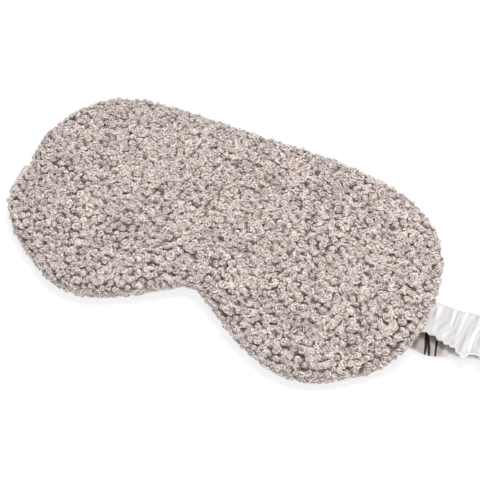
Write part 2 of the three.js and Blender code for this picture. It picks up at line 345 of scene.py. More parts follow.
ground, back = split_pillow()
refine(ground)
refine(back)


# ---- shared noise and folds ----

rng = np.random.default_rng(SEED)


def wave_noise(u, v, scale, seed, waves=9):
    """Smooth seeded noise from -1 to 1 whose features are about scale across."""
    draw = np.random.default_rng(seed)
    total = np.zeros(np.broadcast(u, v).shape)
    for _ in range(waves):
        angle = draw.uniform(0, 2 * np.pi)
        rate = 2 * np.pi / (scale * draw.uniform(1.1, 2.6))
        total = total + np.sin(rate * (u * np.cos(angle) + v * np.sin(angle)) + draw.uniform(0, 2 * np.pi))
    return np.clip(total / (0.62 * waves), -1, 1)


def pleat(phase):
    """A lopsided fold: it rises slowly to a sharp crest at 0.7 of each turn and drops away quickly."""
    f = phase - np.floor(phase)
    tent = np.where(f < 0.7, f / 0.7, (1 - f) / 0.3)
    return 0.6 * tent + 0.4 * np.sin(np.pi / 2 * tent)


# ---- boucle: clumps of curled yarn over the whole front ----

CLUMP_SPACING = 2.4  # least distance between two clumps, before they are evened out
SPACING_SWING = 0.16  # from patch to patch the spacing varies by this share
CANDIDATES = 40000
EVENING_ROUNDS = 2
CLUMP_SIZE = 1.36  # usual radius of a clump
NEIGHBOURS = 6
SIZE_OF_GAP = 0.445  # a clump's radius as a share of the mean distance to its neighbours
# Where the fleece turns under, the clumps are closer by the first share, wider by the second share of
# their gap, and lower by the third.
UNDER_CLOSER, UNDER_WIDER, UNDER_LOWER = 0.34, 0.1, 0.62
CLUMP_LEAN = 0.38
STRAND_SWELL, STRAND_SHIFT = 0.16, 0.16  # how unevenly a strand winds, as shares of the clump's radius
YARN_ROUGHNESS = 0.135  # random shift of every point of a strand
STRANDS = 4  # curls of yarn in a clump
STRAND_RINGS, STRAND_SIDES, STRAND_RADIUS = 12, 4, 0.37
CROWN_HEIGHT = 1.35  # the top of a strand over its clump's foot, as a share of the clump's height
STRANDS_PER_PIECE = 2150  # keeps each piece under 200,000 triangles
FIBRES = 13500
FUZZ_PIECES = 2
FIBRE_RINGS, FIBRE_SIDES, FIBRE_RADIUS = 4, 4, 0.07


def surface_samples(obj, count):
    """Evenly spread random points on a mesh, with their normals."""
    obj.data.calc_loop_triangles()
    corner = np.array([triangle.vertices[:] for triangle in obj.data.loop_triangles])
    points, normal = coords(obj), normals(obj)
    a, b, c = (points[corner[:, i]] for i in range(3))
    area = np.linalg.norm(np.cross(b - a, c - a), axis=1)
    pick = rng.choice(len(corner), count, p=area / area.sum())
    r, s = rng.random(count), rng.random(count)
    flip = r + s > 1
    r[flip], s[flip] = 1 - r[flip], 1 - s[flip]
    weights = np.stack([1 - r - s, r, s], 1)[:, :, None]
    place = (points[corner[pick]] * weights).sum(1)
    facing = (normal[corner[pick]] * weights).sum(1)
    return place, unit(facing)


def tree_of(points):
    tree = KDTree(len(points))
    for i, p in enumerate(points):
        tree.insert(p, i)
    tree.balance()
    return tree


def spread_out(points, spacing):
    """Numbers of the points that are kept, so that no two are closer than their spacing."""
    tree = tree_of(points)
    dropped = np.zeros(len(points), bool)
    kept = []
    for i, p in enumerate(points):
        if dropped[i]:
            continue
        kept.append(i)
        for _, j, _ in tree.find_range(p, spacing[i]):
            dropped[j] = True
    return np.array(kept)


def even_out(points, kept):
    """Moves each kept point to the middle of the points nearest to it, so that the gaps become alike."""
    every = tree_of(points)
    for _ in range(EVENING_ROUNDS):
        tree = tree_of(points[kept])
        nearest = np.array([tree.find(p)[1] for p in points])
        total = np.stack([np.bincount(nearest, points[:, i], len(kept)) for i in range(3)], 1)
        middle = total / np.bincount(nearest, minlength=len(kept))[:, None]
        kept = np.unique([every.find(p)[1] for p in middle])
    return kept


def tangent_frame(normal):
    helper = np.where(np.abs(normal[:, 2:]) < 0.9, [[0.0, 0.0, 1.0]], [[1.0, 0.0, 0.0]])
    first = unit(np.cross(normal, helper))
    return first, np.cross(normal, first)


def tubes(centre, radius, sides):
    """Closed tubes round rows of centre points (tube, ring, xyz), as points, quads and points per tube."""
    count, rings = centre.shape[:2]
    direction = unit(np.gradient(centre, axis=1))
    first, _ = tangent_frame(direction[:, rings // 2])
    side = unit(first[:, None] - (first[:, None] * direction).sum(2, keepdims=True) * direction)
    up = np.cross(direction, side)
    ring = np.linspace(0, 2 * np.pi, sides, endpoint=False)[None, None, :, None]
    outward = np.cos(ring) * side[:, :, None] + np.sin(ring) * up[:, :, None]
    points = centre[:, :, None] + radius[..., None, None] * outward
    start_cap = np.array([[0, k + 2, k + 1, k] for k in range(1, sides - 2, 2)])
    end_cap = start_cap[:, ::-1] + (rings - 1) * sides
    one = np.vstack([grid_quads(rings, sides, True), start_cap, end_cap])
    every = (one[None] + rings * sides * np.arange(count)[:, None, None]).reshape(-1, 4)
    return points.reshape(-1, 3), every, rings * sides


def clump_curls(place, normal, size, flat):
    """Strands that wind from the foot of each clump to its crown. Returns their centre lines and radii."""
    count = len(place)
    lean = rng.normal(0, CLUMP_LEAN, (count, 2))
    first, second = tangent_frame(normal)
    axis = unit(normal + lean[:, :1] * first + lean[:, 1:] * second)
    first, second = tangent_frame(axis)
    hand = rng.choice([-1.0, 1.0], count)
    start = rng.uniform(0, 2 * np.pi, count)
    u = np.linspace(0, 1, STRAND_RINGS)[None, :]
    lines, radii = [], []
    for strand in range(STRANDS):
        begin = (start + strand * 2 * np.pi / STRANDS + rng.normal(0, 0.3, count))[:, None]
        turns = rng.uniform(0.55, 1.1, (count, 1))
        foot = rng.uniform(1.75, 2.0, (count, 1))
        crown = rng.uniform(0.0, 0.3, (count, 1))
        polar = foot + (crown - foot) * u ** rng.uniform(0.7, 1.1, (count, 1))
        turn = begin + hand[:, None] * 2 * np.pi * turns * u
        swell = 1 + STRAND_SWELL * np.sin(u * rng.uniform(5, 11, (count, 1)) + begin)
        shift = rng.normal(0, STRAND_SHIFT, (count, 1, 3)) * size[:, None, None]
        out = size[:, None] * swell * np.sin(polar)
        rise = size[:, None] * (swell * np.cos(polar) * flat[:, None] + 0.12)
        lines.append(
            place[:, None] + shift
            + (out * np.cos(turn))[..., None] * first[:, None]
            + (out * np.sin(turn))[..., None] * second[:, None]
            + rise[..., None] * axis[:, None]
        )
        thick = STRAND_RADIUS / CLUMP_SIZE * size[:, None] * rng.uniform(0.8, 1.2, (count, 1))
        radii.append(thick * (0.5 + 0.5 * np.sin(np.pi * (0.12 + 0.8 * u)) ** 0.7))
    return np.stack(lines, 1), np.stack(radii, 1)


def turned_under(normal):
    """0 on the broad front, 1 where the fleece turns under to the seam and lies flat like felt."""
    return smooth((0.88 - normal[:, 2]) / 0.8)


def make_clumps():
    """Place, normal, radius, height over radius, and share turned under, of every clump on the ground."""
    place, normal = surface_samples(ground, CANDIDATES)
    under = turned_under(normal)
    patch = wave_noise(place[:, 0], place[:, 1], 15, SEED + 1)
    kept = spread_out(place, CLUMP_SPACING * (1 + SPACING_SWING * patch) * (1 - UNDER_CLOSER * under))
    kept = even_out(place, kept)
    kept = kept[np.argsort(place[kept, 0])]
    place, normal, under = place[kept], normal[kept], under[kept]
    tree = tree_of(place)
    gap = np.array([np.mean([far for _, _, far in tree.find_n(p, NEIGHBOURS + 1)[1:]]) for p in place])
    size = (SIZE_OF_GAP + UNDER_WIDER * under) * gap * rng.uniform(0.78, 1.24, len(kept))
    return place, normal, size, 1.0 - UNDER_LOWER * under, under


def swell_ground(place, size, flat):
    """Raises a dome of the fleece's ground under each clump, so that nothing shows through the curls."""
    points, normal = coords(ground), normals(ground)
    tree = tree_of(place)
    rise = np.zeros(len(points))
    for i, p in enumerate(points):
        for _, j, far in tree.find_n(p, 3):
            dome = size[j] * flat[j] * math.sqrt(max(0.0, 1 - (far / (size[j] * 1.02)) ** 2)) * 0.95
            rise[i] = max(rise[i], dome)
    set_coords(ground, points + normal * rise[:, None])
    store(ground, "pile_height", np.clip(rise / CLUMP_SIZE, 0, 1))
    store(ground, "turned_under", turned_under(normal))


def make_boucle():
    place, normal, size, flat, under = make_clumps()
    line, radius = clump_curls(place, normal, size, flat)
    clump_tint = rng.random(len(place))
    swell_ground(place, size, flat)
    parts = int(np.ceil(len(place) * STRANDS / STRANDS_PER_PIECE))
    pieces = []
    for number, group in enumerate(np.array_split(np.arange(len(place)), parts)):
        centre = line[group].reshape(-1, STRAND_RINGS, 3)
        points, quads, per_tube = tubes(centre, radius[group].reshape(-1, STRAND_RINGS), STRAND_SIDES)
        points = points + rng.normal(0, YARN_ROUGHNESS, points.shape)
        per_clump = per_tube * STRANDS
        obj = mesh_object(f"boucle_pile_{number + 1}", points, quads)
        foot = np.repeat(place[group], per_clump, axis=0)
        up = np.repeat(normal[group], per_clump, axis=0)
        tall = CROWN_HEIGHT * np.repeat(size[group] * flat[group], per_clump)
        store(obj, "pile_height", np.clip(((points - foot) * up).sum(1) / tall, 0, 1))
        store(obj, "curl_tint", np.repeat(clump_tint[group], per_clump))
        store(obj, "strand_tint", np.repeat(rng.random(len(group) * STRANDS), per_tube))
        store(obj, "turned_under", np.repeat(under[group], per_clump))
        pieces.append(obj)
    return pieces, (place, normal, size)


def make_fuzz(place, normal, size):
    """Fine loose fibres that stand out of the clumps and soften the outline."""
    pick = np.sort(rng.integers(0, len(place), FIBRES))
    first, second = tangent_frame(normal[pick])
    around = rng.uniform(0, 2 * np.pi, FIBRES)
    out = rng.uniform(0.1, 1.0, FIBRES) * size[pick]
    base = place[pick] + (np.cos(around) * out)[:, None] * first + (np.sin(around) * out)[:, None] * second
    base = base + normal[pick] * (size[pick] * 0.75)[:, None]
    lean = unit(rng.normal(0, 0.7, (FIBRES, 3)) + normal[pick])
    bend = rng.normal(0, 0.6, (FIBRES, 3))
    length = rng.uniform(0.8, 1.9, (FIBRES, 1, 1))
    length = length * (1 - 0.6 * turned_under(normal[pick]))[:, None, None]
    u = np.linspace(0, 1, FIBRE_RINGS)[None, :, None]
    centre = base[:, None] + length * (u * lean[:, None] + 0.6 * u * u * bend[:, None])
    centre[..., 2] = np.maximum(centre[..., 2], REST_HEIGHT)
    radius = np.broadcast_to(FIBRE_RADIUS * (1 - 0.6 * u[..., 0]), (FIBRES, FIBRE_RINGS))
    pieces = []
    for number, group in enumerate(np.array_split(np.arange(FIBRES), FUZZ_PIECES)):
        points, quads, per_tube = tubes(centre[group], radius[group], FIBRE_SIDES)
        obj = mesh_object(f"boucle_fuzz_{number + 1}", points, quads)
        store(obj, "strand_tint", np.repeat(rng.random(len(group)), per_tube))
        pieces.append(obj)
    return pieces


pile, CLUMPS = make_boucle()
fuzz = make_fuzz(*CLUMPS)


# ---- satin back: gathered a little by its seam ----

PUCKER_PITCH = 5.2
PUCKER_DEPTH = 1.3
PUCKER_FADE = 12.0  # the puckers die out over this distance from the seam
WRINKLE_DEPTH = 0.35
SEAM_INSET = 3.0
OUTLINE_LENGTH = lengths_along(OUTLINE)[-1]


def pucker_back():
    """Small folds that run in from the seam, and faint wide wrinkles. Both only lift the satin."""
    points = coords(back)
    level = np.column_stack([OUTLINE, np.zeros(len(OUTLINE))])
    tree = tree_of(level)
    found = [tree.find((x, y, 0.0)) for x, y, _ in points]
    inset = np.array([far for _, _, far in found]) - SEAM_INSET
    round_edge = OUTLINE_AT[[i for _, i, _ in found]] * OUTLINE_LENGTH
    phase = round_edge / PUCKER_PITCH + 0.5 * wave_noise(round_edge, inset, 17, SEED + 40)
    folds = pleat(phase) * smooth(inset / 2) * np.exp(-np.maximum(inset, 0) / PUCKER_FADE)
    folds = folds * (0.65 + 0.35 * wave_noise(round_edge, 0 * inset, 30, SEED + 41))
    wide = 0.5 + 0.5 * wave_noise(points[:, 0], points[:, 1], 26, SEED + 42)
    points[:, 2] += PUCKER_DEPTH * folds + WRINKLE_DEPTH * wide * smooth(inset / 6)
    set_coords(back, points)
    store(back, "fold_height", folds)


# ---- hand stitches that close the opening the mask was turned through ----

STITCHES = 13
STITCH_SPAN = 27.0  # the stitches reach this far each side of the middle
STITCH_RADIUS = 0.27
STITCH_SLANT = 1.3
# (inset, height) of a stitch's two ends, and of its middle over the seam.
STITCH_IN_BACK, STITCH_IN_FRONT, STITCH_TOP = (4.6, 1.9), (1.5, 4.0), (2.3, 2.7)
FLEECE_THICK, SATIN_THICK = 0.8, 0.35


def close_opening():
    """Slanted stitches over the seam, from the satin to the fleece."""
    depsgraph = bpy.context.evaluated_depsgraph_get()
    to_back, to_ground = (BVHTree.FromObject(obj, depsgraph) for obj in (back, ground))
    slant = STITCH_SLANT / OUTLINE_LENGTH
    lines = []
    for turn in np.linspace(-STITCH_SPAN, STITCH_SPAN, STITCHES) / OUTLINE_LENGTH:
        ends = []
        for tree, shift, at in ((to_back, -slant, STITCH_IN_BACK), (to_ground, slant, STITCH_IN_FRONT)):
            spot = mask_point(turn + shift, *at)
            near, normal, _, _ = tree.find_nearest(Vector(spot * MM))
            ends.append(np.array(near) / MM + np.array(normal) * STITCH_RADIUS * 0.6)
        over = mask_point(turn, *STITCH_TOP)
        lines.append(spline([ends[0], over, ends[1]], 7))
    centre = np.array(lines)
    points, quads, _ = tubes(centre, np.full(centre.shape[:2], STITCH_RADIUS), 8)
    return mesh_object("closing_stitches", points, quads)


pucker_back()
stitches = close_opening()
thicken(ground, FLEECE_THICK)
thicken(back, SATIN_THICK)


# ---- strap: a gathered satin sleeve over an elastic band ----

SLEEVE_WIDTH, SLEEVE_THICK = 20.0, 4.0
TAB_WIDTH, TAB_THICK = 15.8, 2.4
LOW_Z = SLEEVE_THICK / 2
ROOT_Z = 7.6
SAG_X, SAG_Z = 128.0, 6.7
TAB_IN_X, HINGE_X = 95.6, 105.0
FOLD_X, TURN_X = 152.0, 157.0
LEFT_TURN_X = -98.6
LEFT_BULGE = 0.7  # the turn at the left stands out this far beyond a plain half circle
LEFT_REACH = 1.6  # and its sewn end reaches this much further in, to the seam that lies uneven there
PATH_STEP = 0.3  # the strap's direction is measured this far each side of a point
FOLD_TOP_Z = 7.6
OPEN_X, OPEN_LENGTH = 108.0, 17.0  # where the sleeve begins to open to its full width, and over what length
UNDER_X = 92.0  # the run under the mask ends here, and the part that bends begins
STRETCH_X = 113.0  # the part that stretches begins here
ROW_STEP, HIDDEN_ROW_STEP = 0.3, 0.5
SLEEVE_SIDES = 76
LOW_POINTS, HIGH_POINTS, TAB_POINTS, TURN_POINTS = 520, 130, 8, 38  # of the strap's path
GATHER_PITCH = 5.7
SLEEVE_CLOTH = 0.28  # thickness of the sleeve's cloth


def upper_z(x):
    down = ROOT_Z + (SAG_Z - ROOT_Z) * smooth((x - HINGE_X) / (SAG_X - HINGE_X))
    up = SAG_Z + (FOLD_TOP_Z - SAG_Z) * smooth((x - SAG_X) / (FOLD_X - SAG_X))
    return np.where(x < SAG_X, down, up)


def half_turn(centre_x, side):
    """Points of a half turn, from the upper level down if it is on the left, up from the lower one if not."""
    radius, middle = (ROOT_Z - LOW_Z) / 2, (ROOT_Z + LOW_Z) / 2
    turn = np.linspace(0, np.pi, TURN_POINTS + 2)[1:-1]
    return np.stack([centre_x + side * radius * np.sin(turn), middle - side * radius * np.cos(turn)], 1)


def strap_path():
    tab = np.linspace(-TAB_IN_X, LEFT_TURN_X, TAB_POINTS)
    low = np.linspace(LEFT_TURN_X, TURN_X, LOW_POINTS)
    high = np.linspace(TURN_X, TAB_IN_X, HIGH_POINTS)
    points = np.vstack([
        np.stack([tab, 0 * tab + ROOT_Z], 1),
        half_turn(LEFT_TURN_X, -1),
        np.stack([low, 0 * low + LOW_Z], 1),
        half_turn(TURN_X, 1),
        np.stack([high, upper_z(high)], 1),
    ])
    return points, lengths_along(points)


PATH, PATH_AT = strap_path()
LOW_START = PATH_AT[TAB_POINTS + TURN_POINTS]
PATH_END = PATH_AT[-1]


def low_at(x):
    """Distance along the strap to a place on its lower run."""
    return LOW_START + x - LEFT_TURN_X


def high_at(x):
    """Distance along the strap to a place on its upper run."""
    return float(np.interp(x, PATH[-HIGH_POINTS:, 0][::-1], PATH_AT[-HIGH_POINTS:][::-1]))


# The soft strap lies a little askew: (x, sideways shift) of each run's centre line.
UPPER_WANDER = [(96, 0.6), (104, 1.3), (113, 0.8), (122, 0.9), (134, 0.6), (150, 0)]
LOWER_WANDER = [
    (-60, -3), (84, -3), (100, -3.6), (107, -3.9), (115, -1.2), (121, 0.4), (127, 2.4), (137, 1.6), (150, 0),
]
WANDER_END = 150
# One gather of the upper run stands out at the near edge: (x, how far it lies beyond the sleeve's width).
EDGE_SWING = [
    (106, 0), (111, 0.9), (116.5, 0.7), (120.8, 2.9), (125, -1.2), (131, 0.8), (138, -0.6), (146, 0),
]


def wander(t):
    """Sideways shift of the strap's centre line at distances along it."""
    x = np.interp(t, PATH_AT, PATH[:, 0])
    return np.where(t > high_at(WANDER_END), eased(UPPER_WANDER, x), eased(LOWER_WANDER, x))


def strap_frame(t):
    """Point, direction, sleeve width and sleeve thickness at distances along the strap."""
    inside = np.clip(t, PATH_STEP, PATH_END - PATH_STEP)
    place, ahead, behind = (curve_at(at, PATH_AT, PATH) for at in (t, inside + PATH_STEP, inside - PATH_STEP))
    place[:, 0] -= LEFT_BULGE * smooth((-TAB_IN_X - place[:, 0]) / 5)
    place[:, 0] += LEFT_REACH * (1 - smooth(t / 3))
    along = unit(ahead - behind)
    left_open = smooth((t - (LOW_START - 3)) / OPEN_LENGTH)
    right_open = smooth((high_at(OPEN_X) - t) / OPEN_LENGTH)
    width = TAB_WIDTH + (SLEEVE_WIDTH - TAB_WIDTH) * np.minimum(left_open, right_open)
    flattened = np.minimum(left_open, smooth((high_at(HINGE_X - 3) - t) / 5))
    thick = TAB_THICK + (SLEEVE_THICK - TAB_THICK) * flattened
    return place, along, width, thick


# Tight creases in the run on the table, just outside the mask: (x at the centre line, x at the near edge,
# half-width at that edge).
CREASES = [(103.2, 105.7, 0.48), (103.6, 107.7, 0.48), (107.9, 110.2, 0.33)]
CREASE_STARTS = 0.25  # a crease opens from here, across the sleeve, to its edge
CREASE_WIDENS = 0.5  # and it is wider by this share at the centre line


def creased(t, a):
    """0 in a crease of the strap's lower run, 1 away from it."""
    kept = np.ones(np.broadcast(t, a).shape)
    depth = smooth((CREASE_STARTS - a) / 0.4)
    for middle_x, edge_x, half_width in CREASES:
        bend = a * (edge_x - middle_x) + 0.25 * wave_noise(t, 5 * a, 3, SEED + 9)
        reach = half_width * (1 + CREASE_WIDENS * smooth((a + 1) / 0.7))
        off = (t - low_at(middle_x) + bend) / reach
        kept = kept * (1 - depth * np.exp(-off ** 2))
    return kept


def gathers(t, a, side):
    """Height of a face's gathers, 0 to 1, at distance t along and a, -1 to 1, across. side is 1 or -1."""
    key = SEED + (30 if side > 0 else 60)
    drift = 0.38 * wave_noise(t, 7 * a, 16, key) + 0.16 * wave_noise(t, 5 * a, 7, key + 1)
    slant = 0.5 * a * wave_noise(t, 0 * t, 22, key + 2)
    main = pleat(t / GATHER_PITCH + drift + slant + (0.37 if side > 0 else 0))
    fine = pleat(t / (GATHER_PITCH * 0.47) + 0.6 * wave_noise(t, 9 * a, 9, key + 3) + 0.6 * a)
    share = 0.72 + 0.28 * wave_noise(t, 8 * a, 12, key + 4)
    return np.clip(0.74 * main * share + 0.26 * fine, 0, 1)


EDGE_RUFFLE = 1.7  # how far the thin edges wave up and down
EDGE_PULL = 1.2  # and how far they draw in and out
RUFFLE_PITCH = 3.4
HELD_OPEN = 0.4  # least height of the sleeve, as a share of its half thickness
CREASE_HEIGHT = 0.06  # and its least height in a crease
GATHER_SHARE = 0.6  # height of the gathers, as such a share
UPPER_GATHER = 0.85  # they stand higher on top of the upper run, which nothing lies on
SHADE_FROM, SHADE_FULL, SHADE_END = (94, 99), 110, 118  # painted shade on the lower run where it lies in the shade of the mask and the upper run
LEFT_SHADE = 0.6  # and painted shade on the turn under the mask's left end


def sleeve_surface(t, phi):
    """Outer surface of the sleeve, in millimetres, and what its material needs to know of each point."""
    place, along, width, thick = (x[:, None] for x in strap_frame(t))
    shift = wander(t)[:, None]
    t = t[:, None]
    across, up = np.cos(phi)[None], np.sin(phi)[None]
    side = np.where(up >= 0, 1.0, -1.0)
    rise = np.where(side > 0, gathers(t, across, 1), gathers(t, across, -1))
    # The two faces meet along the edges, where the gathers flare into a thin wavy rim.
    edge = np.abs(across) ** 7
    body = (1 - np.abs(across) ** 9) ** 0.5
    crease = np.where(side > 0, creased(t, across), 1.0)
    rise = rise * crease
    # The elastic holds the sleeve open, and beside it a crease pinches the two faces together.
    pinch = (1 - crease) * smooth((np.abs(across) - 0.6) / 0.1)
    least = HELD_OPEN - (HELD_OPEN - CREASE_HEIGHT) * pinch
    past_fold = t - high_at(FOLD_X)
    on_top = (side > 0) * smooth(past_fold / 20)
    half = thick / 2 * (least + (GATHER_SHARE + (UPPER_GATHER - GATHER_SHARE) * on_top) * rise)
    height = side * half * body + side * 0.3 * np.abs(up) ** 0.3 * edge
    which = np.where(across > 0, 1.0, 0.0)
    flare = pleat(t / RUFFLE_PITCH + 0.5 * wave_noise(t, 9 * which, 11, SEED + 5) + 0.4 * which)
    strength = (0.6 + 0.4 * wave_noise(t, 11 * which, 19, SEED + 7)) * (0.45 + 0.55 * smooth(past_fold / 9))
    height = height + edge * EDGE_RUFFLE * strength * (1.6 * flare - 0.8) * thick / SLEEVE_THICK
    swing = eased(EDGE_SWING, place[..., 0]) * (t > high_at(TURN_X)) * (across < 0) * across ** 2
    reach = across * (width / 2 + swing - edge * EDGE_PULL * (1 - flare) * strength)
    x = place[..., 0] - along[..., 1] * height
    z = place[..., 1] + along[..., 0] * height
    # Painted shade on the lower run near the mask, where the mask and the upper run shade it, and on the turn
    # at the left end.
    on_table = (t < low_at(TURN_X)) * smooth((x - SHADE_FROM[0]) / (SHADE_FROM[1] - SHADE_FROM[0]))
    shade_share = on_table * (side > 0) * smooth((SHADE_END - x) / (SHADE_END - SHADE_FULL))
    shade_share = np.maximum(shade_share, LEFT_SHADE * smooth((-TAB_IN_X - x) / 3))
    lip = smooth((np.abs(across) - 0.9) / 0.08)
    # These drive the strap's painted light: shade in the gathers' valleys, highlight on their crests,
    # near-black shade in the creases, and shade on the run under the mask.
    told = {"gather_height": rise * body, "crease_depth": 1 - crease, "painted_shade": shade_share, "lip": lip}
    return np.stack([x, reach + shift, z], -1), told


def sleeve_piece(name, start, end):
    """The sleeve between two distances along the strap, a closed tube with an outer and an inner wall."""
    row_step = HIDDEN_ROW_STEP if start == 0 else ROW_STEP
    steps = int(round((end - start) / row_step))
    # One more row beyond each end keeps the normals continuous from one piece to the next.
    t = start + (end - start) / steps * np.arange(-1, steps + 2)
    outer, told = sleeve_surface(t, np.linspace(0, 2 * np.pi, SLEEVE_SIDES, endpoint=False))
    d_t = outer[2:] - outer[:-2]
    d_phi = (np.roll(outer, -1, 1) - np.roll(outer, 1, 1))[1:-1]
    outer = outer[1:-1]
    inner = outer - unit(np.cross(d_phi, d_t)) * SLEEVE_CLOTH
    rows, columns = outer.shape[:2]
    # The outer wall runs on into the inner one, back to front, and that one joins the outer's first row.
    quads = grid_quads(2 * rows + 1, columns, True) % (2 * rows * columns)
    obj = mesh_object(name, np.concatenate([outer, inner[::-1]]).reshape(-1, 3), quads)
    for what, values in told.items():
        values = np.broadcast_to(values, (rows + 2, columns))[1:-1]
        store(obj, what, np.concatenate([values, values[::-1]]).ravel())
    return obj


STRIP_LANES = 15


def strip_piece(name, start, end, across, width, thick):
    """A solid strip inside the sleeve, with shallow ribs along it: the elastic band or the tube's seam."""
    t = np.linspace(start, end, max(3, int(round(end - start)) + 1))
    place, along, _, _ = strap_frame(t)
    lane = np.linspace(-1, 1, STRIP_LANES)
    ribs = 0.5 + 0.06 * np.cos(lane * np.pi * (STRIP_LANES - 1) / 2)
    top = np.stack([across + lane * width / 2, ribs * thick], 1)
    section = np.vstack([top, top[::-1] * (1, -1)])
    height = section[None, :, 1]
    x = place[:, :1] - along[:, 1:] * height
    z = place[:, 1:] + along[:, :1] * height
    y = section[None, :, 0] + wander(t)[:, None]
    rows, columns = x.shape
    k = np.arange(STRIP_LANES - 1)
    cap = np.stack([k, k + 1, columns - 2 - k, columns - 1 - k], 1)
    quads = np.vstack([grid_quads(rows, columns, True), cap, cap[:, ::-1] + (rows - 1) * columns])
    return mesh_object(name, np.stack([x, y, z], -1).reshape(-1, 3), quads)


# Each stretch: its name, where it starts and ends along the strap, the bodies it rides on, and the end of
# the CAD names it stands for.
STRETCHES = [
    ("under_mask", 0.0, low_at(UNDER_X), ["mask"], "under"),
    ("lower_root", low_at(UNDER_X), low_at(STRETCH_X), ["mask", "strap_loop"], None),
    ("lower_run", low_at(STRETCH_X), low_at(FOLD_X), ["strap_loop", "strap_fold"], "lower"),
    ("end_fold", low_at(FOLD_X), high_at(FOLD_X), ["strap_fold"], "fold"),
    ("upper_run", high_at(FOLD_X), high_at(STRETCH_X), ["strap_loop", "strap_fold"], "upper"),
    ("upper_root", high_at(STRETCH_X), PATH_END, ["mask", "strap_loop"], "end_right"),
]
BAND_WIDTH, BAND_THICK = 12.0, 0.9
TUBE_SEAM_ACROSS, TUBE_SEAM_SIZE = 6.6, 0.5


def ride_strap(obj, bodies):
    """The stretch rides on its body if it has one; a stretch on two bodies only has its place baked into its
    points.
    """
    if len(bodies) == 1:
        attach(obj, bodies[0])
    elif bodies[0] == "mask":
        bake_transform(obj)
    else:
        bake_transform(obj)


sleeves, bands, tube_seams = [], [], []
for stretch, start, end, bodies, cad_name in STRETCHES:
    sleeve = sleeve_piece("satin_sleeve_" + stretch, start, end)
    band = strip_piece("elastic_band_" + stretch, start, end, 0, BAND_WIDTH, BAND_THICK)
    seam = strip_piece("sleeve_seam_" + stretch, start, end, TUBE_SEAM_ACROSS, TUBE_SEAM_SIZE, TUBE_SEAM_SIZE)
    sleeves.append(sleeve)
    bands.append(band)
    tube_seams.append(seam)
    if cad_name:
        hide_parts("sleeve_" + cad_name)
        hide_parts("elastic_" + cad_name)
        if cad_name != "end_right":
            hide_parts("tube_seam_" + cad_name)
    for obj in (sleeve, band, seam):
        ride_strap(obj, bodies)


# ---- materials ----

def whole(color):
    """Red, green, blue and alpha of a colour. A plain number is a grey."""
    return (*color, 1) if isinstance(color, tuple) else (color, color, color, 1)


class Graph:
    """A node tree, built by short calls. A value is a number, a colour or another node's output."""

    def __init__(self, tree):
        self.tree = tree

    def feed(self, node, values):
        """Puts values into a node's sockets, by their names or numbers."""
        for name, value in values.items():
            socket = node.inputs[name]
            if isinstance(value, bpy.types.NodeSocket):
                self.tree.links.new(value, socket)
            else:
                socket.default_value = whole(value) if socket.type == "RGBA" else value

    def node(self, kind, values=None, **settings):
        node = tune(self.tree.nodes.new("ShaderNode" + kind), **settings)
        self.feed(node, values or {})
        return node

    def math(self, operation, a, b):
        return self.node("Math", {0: a, 1: b}, operation=operation).outputs[0]

    def ramp(self, source, stops):
        """Colours at positions from 0 to 1."""
        node = self.node("ValToRGB", {0: source})
        elements = node.color_ramp.elements
        while len(elements) < len(stops):
            elements.new(0.5)
        for element, (position, color) in zip(elements, stops):
            tune(element, position=position, color=whole(color))
        return node.outputs["Color"]

    def seen_directly(self):
        """1 for camera, glossy and transmission rays, 0 for the rays that light the object."""
        rays = self.node("LightPath").outputs
        share = rays["Is Camera Ray"]
        for kind in ("Is Glossy Ray", "Is Transmission Ray"):
            share = self.math("MAXIMUM", share, rays[kind])
        return share

    def show_mix(self, share, first, second, output):
        """Ends the tree in a mix of two shader nodes."""
        mix = self.node("MixShader", {0: share, 1: first.outputs[0], 2: second.outputs[0]})
        self.feed(self.tree.nodes[output], {0: mix.outputs[0]})


class Surface(Graph):
    """A material on a Principled shader."""

    def __init__(self, name, color, roughness, **sockets):
        self.material = bpy.data.materials.new(name)
        self.material.use_nodes = True
        self.material.diffuse_color = whole(color)
        super().__init__(self.material.node_tree)
        self.shader = self.tree.nodes["Principled BSDF"]
        self.set(Base_Color=color, Roughness=roughness, **sockets)
        self.place = self.node("TexCoord").outputs["Object"]

    def set(self, **sockets):
        self.feed(self.shader, {name.replace("_", " "): value for name, value in sockets.items()})

    def attribute(self, name):
        return self.node("Attribute", attribute_name=name).outputs["Fac"]

    def noise(self, scale, detail=2.0, place=None):
        values = {"Vector": place or self.place, "Scale": scale, "Detail": detail}
        return self.node("TexNoise", values).outputs["Fac"]

    def wave(self, scale, direction, distortion=0.0):
        values = {"Vector": self.place, "Scale": scale, "Distortion": distortion}
        return self.node("TexWave", values, bands_direction=direction).outputs["Fac"]

    def mix(self, factor, a, b, blend="MIX"):
        return self.node("Mix", {0: factor, 6: a, 7: b}, data_type="RGBA", blend_type=blend).outputs[2]

    def times(self, a, b):
        return self.mix(1, a, b, "MULTIPLY")

    def shades(self, attribute, stops):
        """A ramp over a value stored at each point."""
        return self.ramp(self.attribute(attribute), stops)

    def bump(self, height, strength, distance):
        node = self.node("Bump", {"Height": height, "Strength": strength, "Distance": distance})
        self.set(Normal=node.outputs["Normal"])


